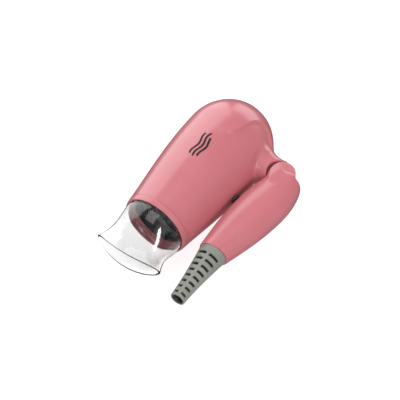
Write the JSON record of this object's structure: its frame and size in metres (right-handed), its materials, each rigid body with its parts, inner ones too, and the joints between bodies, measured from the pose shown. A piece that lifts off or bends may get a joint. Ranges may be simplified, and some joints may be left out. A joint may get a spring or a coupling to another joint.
{
  "type": "folding hair dryer",
  "caption": "Folding travel hair dryer with round-backed barrel, clear flared nozzle, hinged handle and slotted strain relief, lying folded.",
  "frame": {"origin": "under the middle of the folded dryer's box, at the height of the barrel's lowest line as it lies on its right side", "axes": "+X along the barrel from the nozzle to the inlet, -Y from the barrel to the folded handle, +Z the dryer's left side, along the handle's hinge pin"},
  "size_m": [0.1892, 0.1184, 0.0762],
  "materials": {
    "casing": "glossy pink ABS",
    "grille": "satin charcoal nylon",
    "clear_plastic": "clear polycarbonate",
    "relief_rubber": "matt warm grey PVC",
    "filter_mesh": "fine nylon mesh",
    "mica": "mica paper",
    "coil_wire": "resistance wire",
    "brass_fittings": "stamped",
    "control_ceramic": "fired",
    "steel": "zinc plated",
    "circuit_board": "solder mask",
    "component_black": "moulded epoxy",
    "inner_plastic": "natural nylon",
    "sleeve_rubber": "soft",
    "wire_red": "PVC insulation",
    "switch_black": "satin"
  },
  "bodies": {
    "barrel": {"barrel_shell_left": "casing", "barrel_shell_right": "casing", "outlet_ring": "casing", "outlet_grille": "grille", "rear_grille": "grille", "inlet_filter": "filter_mesh", "mica_tube": "mica", "heater_boards": "mica", "heater_coils": "coil_wire", "heater_rivets": "brass_fittings", "thermostat": "control_ceramic", "thermal_fuse": "control_ceramic", "rectifier_board": "circuit_board", "rectifier_diodes": "component_black", "fan_duct": "inner_plastic", "motor_sleeve": "sleeve_rubber", "motor_can": "steel", "motor_end_cap": "inner_plastic", "barrel_leads": "wire_red", "neck_screw": "steel"},
    "fan": {"motor_shaft": "steel", "fan_impeller": "inner_plastic"},
    "handle": {"handle_shell_left": "casing", "handle_shell_right": "casing", "hinge_pin": "steel", "hinge_washers": "brass_fittings", "switch_body": "switch_black", "handle_leads": "wire_red", "lead_connectors": "steel", "cord_clamp": "switch_black", "cord_clamp_screws": "steel", "handle_screws": "steel", "strain_relief": "relief_rubber"},
    "switch": {"switch_knob": "switch_black"},
    "nozzle": {"concentrator_nozzle": "clear_plastic"}
  },
  "joints": [
    {"name": "handle_fold", "type": "hinge", "parent": "barrel", "child": "handle", "pos_m": [0.05104, -0.03691, 0.0381], "axis": [0, 0, 1], "range_deg": [0, 85]},
    {"name": "fan_spin", "type": "hinge", "parent": "barrel", "child": "fan", "pos_m": [0.05364, 0.02109, 0.0381], "axis": [1, 0, 0], "continuous": true},
    {"name": "switch_slide", "type": "slide", "parent": "handle", "child": "switch", "axis": [1, 0, 0], "range_m": [0, 0.009]},
    {"name": "nozzle_turn", "type": "hinge", "parent": "barrel", "child": "nozzle", "pos_m": [-0.04136, 0.02109, 0.0381], "axis": [1, 0, 0], "continuous": true}
  ]
}
